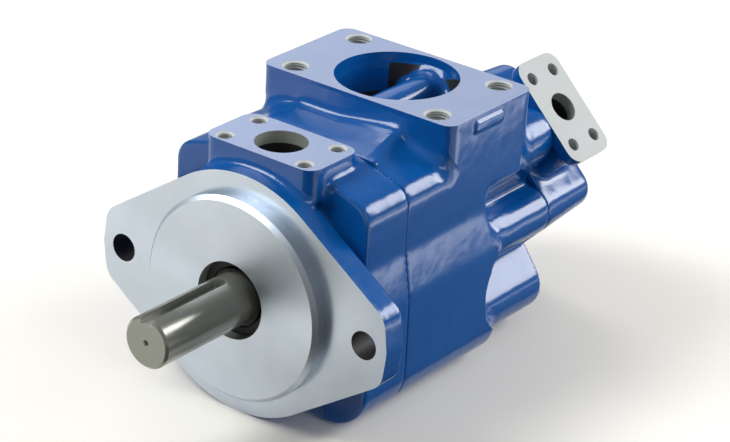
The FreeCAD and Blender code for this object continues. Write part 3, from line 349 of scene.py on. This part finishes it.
# %% Machined faces
CAP = 2.2 * MM
UP, FRONT, ACROSS = Vector((0, 0, 1)), Vector((0, -1, 0)), Vector((1, 0, 0))
REAR_OUT, REAR_ALONG = Vector((1, 0, 1)).normalized(), Vector((1, 0, -1)).normalized()
FLANGE = Vector((0, 0, 0))
OUTLET1 = Vector((0, 32.7, 86.5)) * MM
INLET = Vector((0, 141.5, 95.5)) * MM
OUTLET2 = (88.5 * REAR_OUT - 3.0 * REAR_ALONG + Vector((0, 234.8, 0))) * MM
FACES = {"front_body": [(FLANGE, FRONT), (OUTLET1, UP)],
         "middle_housing": [(INLET, UP)],
         "rear_cover": [(OUTLET2, REAR_OUT)]}
MACHINED_FINISH = {"front_body": TURNED, "middle_housing": MILLED, "rear_cover": HIGHLIT_IRON}
print("machined faces:", sum(len(faces) for faces in FACES.values()))


# %% Tapped holes, bores and chambers
def pattern(centre, along, long, wide, radius, pitch, outward, start):
    """The four tapped holes of a port: mouth, way out, tapping radius, pitch and first thread."""
    holes = []
    for i in (-0.5, 0.5):
        for j in (-0.5, 0.5):
            mouth = centre + (i * long * along + Vector((0, j * wide, 0))) * MM
            holes.append((mouth, outward, radius * MM, pitch * MM, start * MM))
    return holes


TAPPED = {"front_body": pattern(OUTLET1, ACROSS, 58.7, 30.2, 4.25, 1.5, UP, 1.0),
          "middle_housing": pattern(INLET, ACROSS, 106.4, 61.9, 7.0, 2.0, UP, 1.0),
          "rear_cover": pattern(OUTLET2, REAR_ALONG, 47.6, 22.2, 4.25, 1.5, REAR_OUT, 2.0)}
MOUNTING = [(Vector((side * 90.5, 0, 0)) * MM, FRONT, 8.75 * MM) for side in (-1, 1)]
BORES = {"front_body": [(OUTLET1, UP, 15.875 * MM), (FLANGE, FRONT, 24.0 * MM)] + MOUNTING,
         "middle_housing": [],
         "rear_cover": [(OUTLET2, REAR_OUT, 9.525 * MM)]}
SEAM, COVER_SEAM = 62.0, 214.0
SEAMS = {"front_body": (SEAM,), "middle_housing": (SEAM, COVER_SEAM), "rear_cover": (COVER_SEAM,)}
# Chambers round the shaft: where each starts and ends along it, and its radius, in mm.
CHAMBERS = {"front_body": [(-10, 24, 38), (24, 63, 57)],
            "middle_housing": [(61, 156, 57), (156, 215, 50)],
            "rear_cover": [(200, 215, 43), (215, 250, 34)]}
print("tapped holes:", sum(len(holes) for holes in TAPPED.values()))


# %% Which points lie on cut surfaces
SEAM_BAND, WALL_BAND, FACE_BAND = 0.7 * MM, 1.6 * MM, 1.5 * MM
BORE_REACH = 30 * MM
INLET_RADIUS, RIM_BAND, RIM_DEPTH = 38.1 * MM, 1.2 * MM, 6.0 * MM
# The raised blank pad on the right wall: its foot, middle and half sizes.
PAD_FOOT, PAD_Y, PAD_Z, PAD_LONG, PAD_HIGH = 71.2 * MM, 137 * MM, 88.5 * MM, 18 * MM, 6 * MM


def from_axis(point, mouth, outward):
    """How far a point lies from a hole's axis, and how deep it is below the hole's mouth."""
    gap = point - mouth
    depth = -gap.dot(outward)
    return (gap + depth * outward).length, depth


def at_seam(name, point):
    """True beside a joint between two castings."""
    return any(abs(point.y - seam * MM) < SEAM_BAND for seam in SEAMS[name])


def in_chamber(name, point):
    """True on the walls of the chambers round the shaft."""
    reach = math.hypot(point.x, point.z) - WALL_BAND
    return any(start * MM < point.y < end * MM and reach < radius * MM
               for start, end, radius in CHAMBERS[name])


def on_crisp_form(point):
    """True on the middle housing's inlet rim and blank pad, which are crisper than sand leaves."""
    away, depth = from_axis(point, INLET, UP)
    on_rim = abs(away - INLET_RADIUS) < RIM_BAND and depth < RIM_DEPTH
    return on_rim or (point.x > PAD_FOOT and abs(point.y - PAD_Y) < PAD_LONG
                      and abs(point.z - PAD_Z) < PAD_HIGH)


def is_cut(name, point):
    """True where the casting was cut inside its skin, so that no smoothing reaches it."""
    if at_seam(name, point) or in_chamber(name, point):
        return True
    if any((origin - point).dot(outward) < CAP + FACE_BAND for origin, outward in FACES[name]):
        return True
    if name == "middle_housing" and on_crisp_form(point):
        return True
    for mouth, outward, radius, *_ in BORES[name] + TAPPED[name]:
        away, depth = from_axis(point, mouth, outward)
        if away < radius + WALL_BAND and depth < BORE_REACH:
            return True
    return False


# %% [markdown]
# ## Threads
# Each tapped hole gets a lining whose radius runs in and out along a helix, from the tapping
# drill's radius at the crests to one thread's depth more at the roots, and a cone at its foot
# where the drill stopped.

# %% Thread linings
THREAD_DEPTH = 21.0 * MM
THREAD_HEIGHT, DRILL_TIP = 0.6, 0.6
SIDES, ROWS_A_TURN = 40, 4


def thread_lining(mesh, mouth, outward, radius, pitch, start, slot):
    """Add the lining of one tapped hole to a bmesh."""
    side = outward.orthogonal().normalized()
    other = outward.cross(side)
    rings = []
    for row in range(int(THREAD_DEPTH / pitch * ROWS_A_TURN)):
        ring = []
        for k in range(SIDES):
            turn = 2 * math.pi * k / SIDES
            deep = max(start, start + pitch * (row / ROWS_A_TURN - k / SIDES))
            out = radius + (THREAD_HEIGHT * pitch if row % ROWS_A_TURN in (1, 2) else 0)
            spot = mouth - deep * outward + out * (math.cos(turn) * side + math.sin(turn) * other)
            ring.append(mesh.verts.new(spot))
        rings.append(ring)
    for near, far in zip(rings, rings[1:]):
        for k in range(SIDES):
            face = mesh.faces.new((near[k], near[k - 1], far[k - 1], far[k]))
            face.material_index = slot
    tip = mesh.verts.new(mouth - (THREAD_DEPTH + start + DRILL_TIP * radius) * outward)
    for k in range(SIDES):
        face = mesh.faces.new((rings[-1][k], rings[-1][k - 1], tip))
        face.material_index = slot


# %% [markdown]
# ## The cast skin
# The voxel remesh turns a casting into even faces of 0.8 mm, all the same size, so that smoothing
# works alike everywhere. Up to forty rounds soften every cast corner. Sand leaves a larger radius
# in an inside corner than on an outside one, so a second smoothing runs for longer, on the
# hollows alone. A hollow is found where a vertex lies below the middle of its neighbours. Beside a seam
# the smoothing is weak, so that the two castings still meet. The crest that sweeps up to the
# inlet pad rises towards the right on the real casting, so the left of it is let down first.

# %% Cast skin
VOXEL = 0.8 * MM
SEAM_EASE = 0.12
HOLLOW = 0.012 * MM
ROUNDS = {"front_body": 40, "middle_housing": 40, "rear_cover": 32}
FILLET_RINGS = {"front_body": 6, "middle_housing": 12, "rear_cover": 5}
FILLET_ROUNDS = {"front_body": 160, "middle_housing": 420, "rear_cover": 120}
CREST_FOOT, CREST_LENGTH, CREST_HALF = 79 * MM, 37.5 * MM, 47 * MM


def swell(point):
    """Lower the left of the crest's ramp: none of it stays at left and all of it at far."""
    along = (point.y - SEAM * MM) / CREST_LENGTH
    if point.z > CREST_FOOT and 0 < along < 1 and abs(point.x) < CREST_HALF:
        left, far = (7 - 18 * along) * MM, (46 - 8 * along) * MM
        share = min(max((point.x - left) / (far - left), 0), 1)
        point.z = CREST_FOOT + (point.z - CREST_FOOT) * share


def hollows(mesh, free, rings):
    """The free vertices in and near the inside corners."""
    found = set()
    for v in mesh.verts:
        if v.index in free:
            near = [e.other_vert(v).co for e in v.link_edges]
            around = sum(near, Vector()) / len(near)
            if (around - v.co).dot(v.normal) > HOLLOW:
                found.add(v.index)
    mesh.verts.ensure_lookup_table()
    for _ in range(rings):
        found |= {e.other_vert(mesh.verts[i]).index for i in found
                  for e in mesh.verts[i].link_edges}
    return found & free


def relax(skin, title, weights, rounds):
    """Smooth the active object where the given vertices have weight."""
    group = skin.vertex_groups.new(name=title)
    for members, weight in weights:
        group.add(members, weight, "REPLACE")
    soft = skin.modifiers.new(title, "SMOOTH")
    soft.factor, soft.iterations, soft.vertex_group = 0.5, rounds, group.name
    bpy.ops.object.modifier_apply(modifier=soft.name)


def even_skin(name):
    """The whole casting as a bmesh of small even faces, smoothed where it wasn't cut."""
    skin = bpy.data.objects.new(name + "_cast", frame["nodes"][name].data.copy())
    scene.collection.objects.link(skin)
    bpy.context.view_layer.objects.active = skin
    skin.select_set(True)
    remesh = skin.modifiers.new("even", "REMESH")
    remesh.mode, remesh.voxel_size = "VOXEL", VOXEL
    bpy.ops.object.modifier_apply(modifier=remesh.name)
    if name == "middle_housing":
        for v in skin.data.vertices:
            swell(v.co)
    free = [v.index for v in skin.data.vertices if not is_cut(name, v.co)]
    seam = [v.index for v in skin.data.vertices if at_seam(name, v.co)]
    relax(skin, "cast", [(free, 1.0), (seam, SEAM_EASE)], ROUNDS[name])
    mesh = bmesh.new()
    mesh.from_mesh(skin.data)
    inside = list(hollows(mesh, set(free), FILLET_RINGS[name]))
    mesh.free()
    relax(skin, "fillet", [(inside, 1.0)], FILLET_ROUNDS[name])
    skin.select_set(False)
    mesh = bmesh.new()
    mesh.from_mesh(skin.data)
    bpy.data.objects.remove(skin)
    return mesh


# %% [markdown]
# ## Which finish each face takes
# A casting carries seven finishes. Its skin is enamelled, its faces are bare, and its bores are
# dull iron down to where light no longer reaches them, and painted black as shade deeper down.
# The mounting holes, the inlet's lower part and the wide parts of its core beside the web are
# painted black as shade too. Round each tapped hole the skin is dropped, and the thread's lining
# takes its place.

# %% Slots of a dressed casting
ENAMELLED, BARE, BORE, UNLIT, COUNTERSINK, PORT_PAD, THREAD = range(7)
BORE_EDGE, BORE_END, LIT_DEPTH = 0.5 * MM, 40 * MM, 7.5 * MM
INLET_WALL, INLET_SIDE, INLET_DARK = 38.5 * MM, 36.5 * MM, 70 * MM
LINED_EDGE, LINED_END = 1.3 * MM, 24 * MM
CAP_EDGE, CAP_BORE_END, CAP_LINED_EDGE = 0.1 * MM, -9.4 * MM, 1.4 * MM
SHALLOW_START, SINK_DEPTH = 1.5 * MM, 1.35 * MM
LEVEL, UPRIGHT = 0.03 * MM, 0.9


def in_inlet_shade(middle):
    """True low in the inlet, and on two patches of its rear wall beside the web."""
    away = from_axis(middle, INLET, UP)[0]
    if away >= INLET_WALL:
        return False
    left = -26 * MM < middle.x < -9 * MM and middle.z < 88.5 * MM
    right_side = middle.x > 3 * MM and middle.z < 81 * MM + 0.42 * middle.x
    behind_web = away > INLET_SIDE and middle.y > 145 * MM
    return middle.z < INLET_DARK or behind_web and (left or right_side)


def skin_slot(name, middle):
    """The slot of a face of the cast skin."""
    slot = ENAMELLED
    for mouth, outward, radius in BORES[name]:
        away, depth = from_axis(middle, mouth, outward)
        if away < radius + BORE_EDGE and depth < BORE_END:
            mounting = (mouth, outward, radius) in MOUNTING
            # Deep bores and mounting holes are painted black as shade.
            slot = UNLIT if mounting or outward != FRONT and depth > LIT_DEPTH else BORE
    if name == "middle_housing" and in_inlet_shade(middle):
        slot = UNLIT
    return slot


def is_lined(name, middle):
    """True where a thread's lining takes the place of the skin."""
    for mouth, outward, radius, *_ in TAPPED[name]:
        away, depth = from_axis(middle, mouth, outward)
        if away < radius + LINED_EDGE and depth < LINED_END:
            return True
    return False


def cap_slot(name, face, middle, origin, outward):
    """The slot of a face near a machined face, and whether a thread's lining replaces it."""
    slot = BARE if (middle - origin).dot(outward) > -LEVEL else ENAMELLED
    for mouth, axis, radius in BORES[name]:
        away, depth = from_axis(middle, mouth, axis)
        if away < radius + CAP_EDGE and depth > CAP_BORE_END and abs(face.normal.dot(axis)) < UPRIGHT:
            slot = UNLIT if (mouth, axis, radius) in MOUNTING else BORE
    if slot == BARE and origin == OUTLET1:
        slot = PORT_PAD
    lined = False
    for mouth, axis, radius, _, start in TAPPED[name]:
        away, depth = from_axis(middle, mouth, axis)
        if away < radius + CAP_LINED_EDGE and abs(face.normal.dot(axis)) < UPRIGHT:
            # Countersinks take the pale iron of a painted highlight.
            slot = COUNTERSINK
            lined = lined or start < SHALLOW_START and depth > SINK_DEPTH
    return slot, lined


# %% [markdown]
# ## Build the castings
# The skin is cut off under each machined face, and the exact top of the CAD mesh is joined on.
# Edges of more than 25 degrees stay sharp on it. The finished piece replaces the CAD node and
# rides on the same body.

# %% Castings
SHARP = math.radians(25)
WELD = 0.002 * MM


def sliced(mesh, origin, outward, keep_front):
    """Cut a bmesh along a plane and drop one side."""
    everything = mesh.verts[:] + mesh.edges[:] + mesh.faces[:]
    bmesh.ops.bisect_plane(mesh, geom=everything, plane_co=origin, plane_no=outward,
                           clear_inner=keep_front, clear_outer=not keep_front)


def exact_cap(name, origin, outward):
    """The CAD mesh from just under one machined face upwards, with its slots, as a mesh."""
    cap = bmesh.new()
    cap.from_mesh(frame["nodes"][name].data)
    sliced(cap, origin - CAP * outward, outward, True)
    bmesh.ops.remove_doubles(cap, verts=cap.verts, dist=WELD)
    drop = []
    for face in cap.faces:
        face.smooth = True
        middle = face.calc_center_median()
        face.material_index, lined = cap_slot(name, face, middle, origin, outward)
        if lined:
            drop.append(face)
    bmesh.ops.delete(cap, geom=drop, context="FACES")
    for edge in cap.edges:
        edge.smooth = len(edge.link_faces) == 2 and edge.calc_face_angle(0) < SHARP
    whole = bpy.data.meshes.new(name + "_cap")
    cap.to_mesh(whole)
    cap.free()
    return whole


def dress(name):
    """Build one casting from its skin, caps and thread linings, and let it replace its node."""
    skin = even_skin(name)
    for origin, outward in FACES[name]:
        sliced(skin, origin - CAP * outward, outward, False)
    drop = []
    for face in skin.faces:
        face.smooth = True
        middle = face.calc_center_median()
        face.material_index = skin_slot(name, middle)
        if is_lined(name, middle):
            drop.append(face)
    bmesh.ops.delete(skin, geom=drop, context="FACES")
    for origin, outward in FACES[name]:
        whole = exact_cap(name, origin, outward)
        skin.from_mesh(whole)
        bpy.data.meshes.remove(whole)
    for hole in TAPPED[name]:
        thread_lining(skin, *hole, THREAD)
    shape = bpy.data.meshes.new(name + "_dressed")
    skin.to_mesh(shape)
    skin.free()
    # The flat black is painted shade, and the pale iron is a painted highlight.
    for finish in (ENAMEL, MACHINED_FINISH[name], BORED, SHADE_BLACK, HIGHLIT_IRON, MILLED, TAPPED_IRON):
        shape.materials.append(finish)
    piece = bpy.data.objects.new(name + "_dressed", shape)
    scene.collection.objects.link(piece)
    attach(piece, frame["nodes"][name]["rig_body"])
    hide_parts(name)
    print(name, "faces:", len(shape.polygons))


for name in FACES:
    dress(name)

# %% [markdown]
# ## Floor and world
# The photograph is a cut-out on white with a soft shadow, so the floor and what the camera sees
# of the world are white. The object itself is lit by a dimmer world. The floor gives the pump no
# bounced light, because in the photograph the undersides fall off to a deep blue.

# %% Floor
FLOOR_SIZE = 12

lowest = cad_box[0][2]
bpy.ops.mesh.primitive_plane_add(size=FLOOR_SIZE, location=(0, 0, lowest))
floor = bpy.context.object
floor.name = "studio_floor"
paper, tree, output, _ = new_material("white_paper")
matte = add(tree, "ShaderNodeBsdfPrincipled", {"Base Color": linear("#FDFAF2"), "Roughness": 0.9})
tree.links.new(matte.outputs["BSDF"], output.inputs["Surface"])
floor.data.materials.append(paper)
floor.visible_diffuse = False
print("floor at:", lowest)

# %% World
WORLD_LIGHT, SEEN_WHITE = 0.24, 1.0

world = bpy.data.worlds.new("studio")
scene.world = world
world.use_nodes = True
tree = world.node_tree
tree.nodes.clear()
rays = add(tree, "ShaderNodeLightPath")
dim = add(tree, "ShaderNodeBackground", {"Color": linear("#FFFFFF"), "Strength": WORLD_LIGHT})
white = add(tree, "ShaderNodeBackground", {"Color": linear("#FFFFFF"), "Strength": SEEN_WHITE})
both = add(tree, "ShaderNodeMixShader", {"Fac": rays.outputs["Is Camera Ray"]})
tree.links.new(dim.outputs["Background"], both.inputs[1])
tree.links.new(white.outputs["Background"], both.inputs[2])
add(tree, "ShaderNodeOutputWorld", {"Surface": both.outputs["Shader"]})
print("world light:", WORLD_LIGHT)

# %% [markdown]
# ## Lamps
# The lamps are big soft panels. The key stands at the upper left front and models the forms. The
# rim, behind on the right, gives the long white streaks on the rounded corners. The side, back
# and sky panels are weak, and are there for what the scoops, pads and ramp mirror.

# %% Lamps
AIM = Vector((0, 0.08, 0))


def panel(name, place, size, watts):
    """A rectangular soft lamp that faces the pump."""
    lamp = bpy.data.objects.new(name, bpy.data.lights.new(name, "AREA"))
    scene.collection.objects.link(lamp)
    lamp.data.shape = "RECTANGLE"
    lamp.data.size, lamp.data.size_y = size
    lamp.data.energy = watts
    lamp.location = place
    lamp.rotation_mode = "QUATERNION"
    lamp.rotation_quaternion = (AIM - Vector(place)).to_track_quat("-Z", "Y")
    print("lamp:", name, watts, "W")


panel("key", (-0.9, -0.8, 1.3), (0.9, 0.9), 26)
panel("side", (1.4, -0.1, 0.7), (0.5, 1.2), 5)
panel("rim", (0.93, 1.5, 0.75), (0.7, 1.0), 22)
panel("back", (-1.08, 1.54, 0.86), (1.3, 0.9), 3)
panel("sky", (-1.08, 0.78, 1.52), (0.7, 0.7), 5)

# %% [markdown]
# ## Cards
# Gloss enamel shows what it mirrors, and the right wall mirrors the floor. A studio lays black
# and white card beside the object for this. Two dark cards keep the wall a deep blue, and a
# bright strip draws the slanting light band across it. Only reflections see them.

# %% Cards on the floor
CARD_LIFT = 1 * MM
STRIP_LIGHT = 4.0


def card(name, x0, x1, y0, y1, finish):
    """A sheet on the floor that only shows in reflections."""
    bpy.ops.mesh.primitive_plane_add(
        size=1, location=((x0 + x1) / 2, (y0 + y1) / 2, lowest + CARD_LIFT))
    sheet = bpy.context.object
    sheet.name, sheet.scale = name, (x1 - x0, y1 - y0, 1)
    sheet.data.materials.append(finish)
    sheet.visible_camera = sheet.visible_diffuse = sheet.visible_shadow = False
    print("card:", name)


glow, tree, output, _ = new_material("light_strip")
light = add(tree, "ShaderNodeEmission", {"Color": linear("#FFFFFF"), "Strength": STRIP_LIGHT})
tree.links.new(light.outputs["Emission"], output.inputs["Surface"])
# The dark cards use the flat black of painted shade, seen only in reflections.
card("card_front", -0.01, 0.6, -0.6, -0.1, SHADE_BLACK)
card("card_right", 0.085, 0.28, -0.1, 1.3, SHADE_BLACK)
card("strip_right", 0.30, 0.42, 0.25, 0.65, glow)
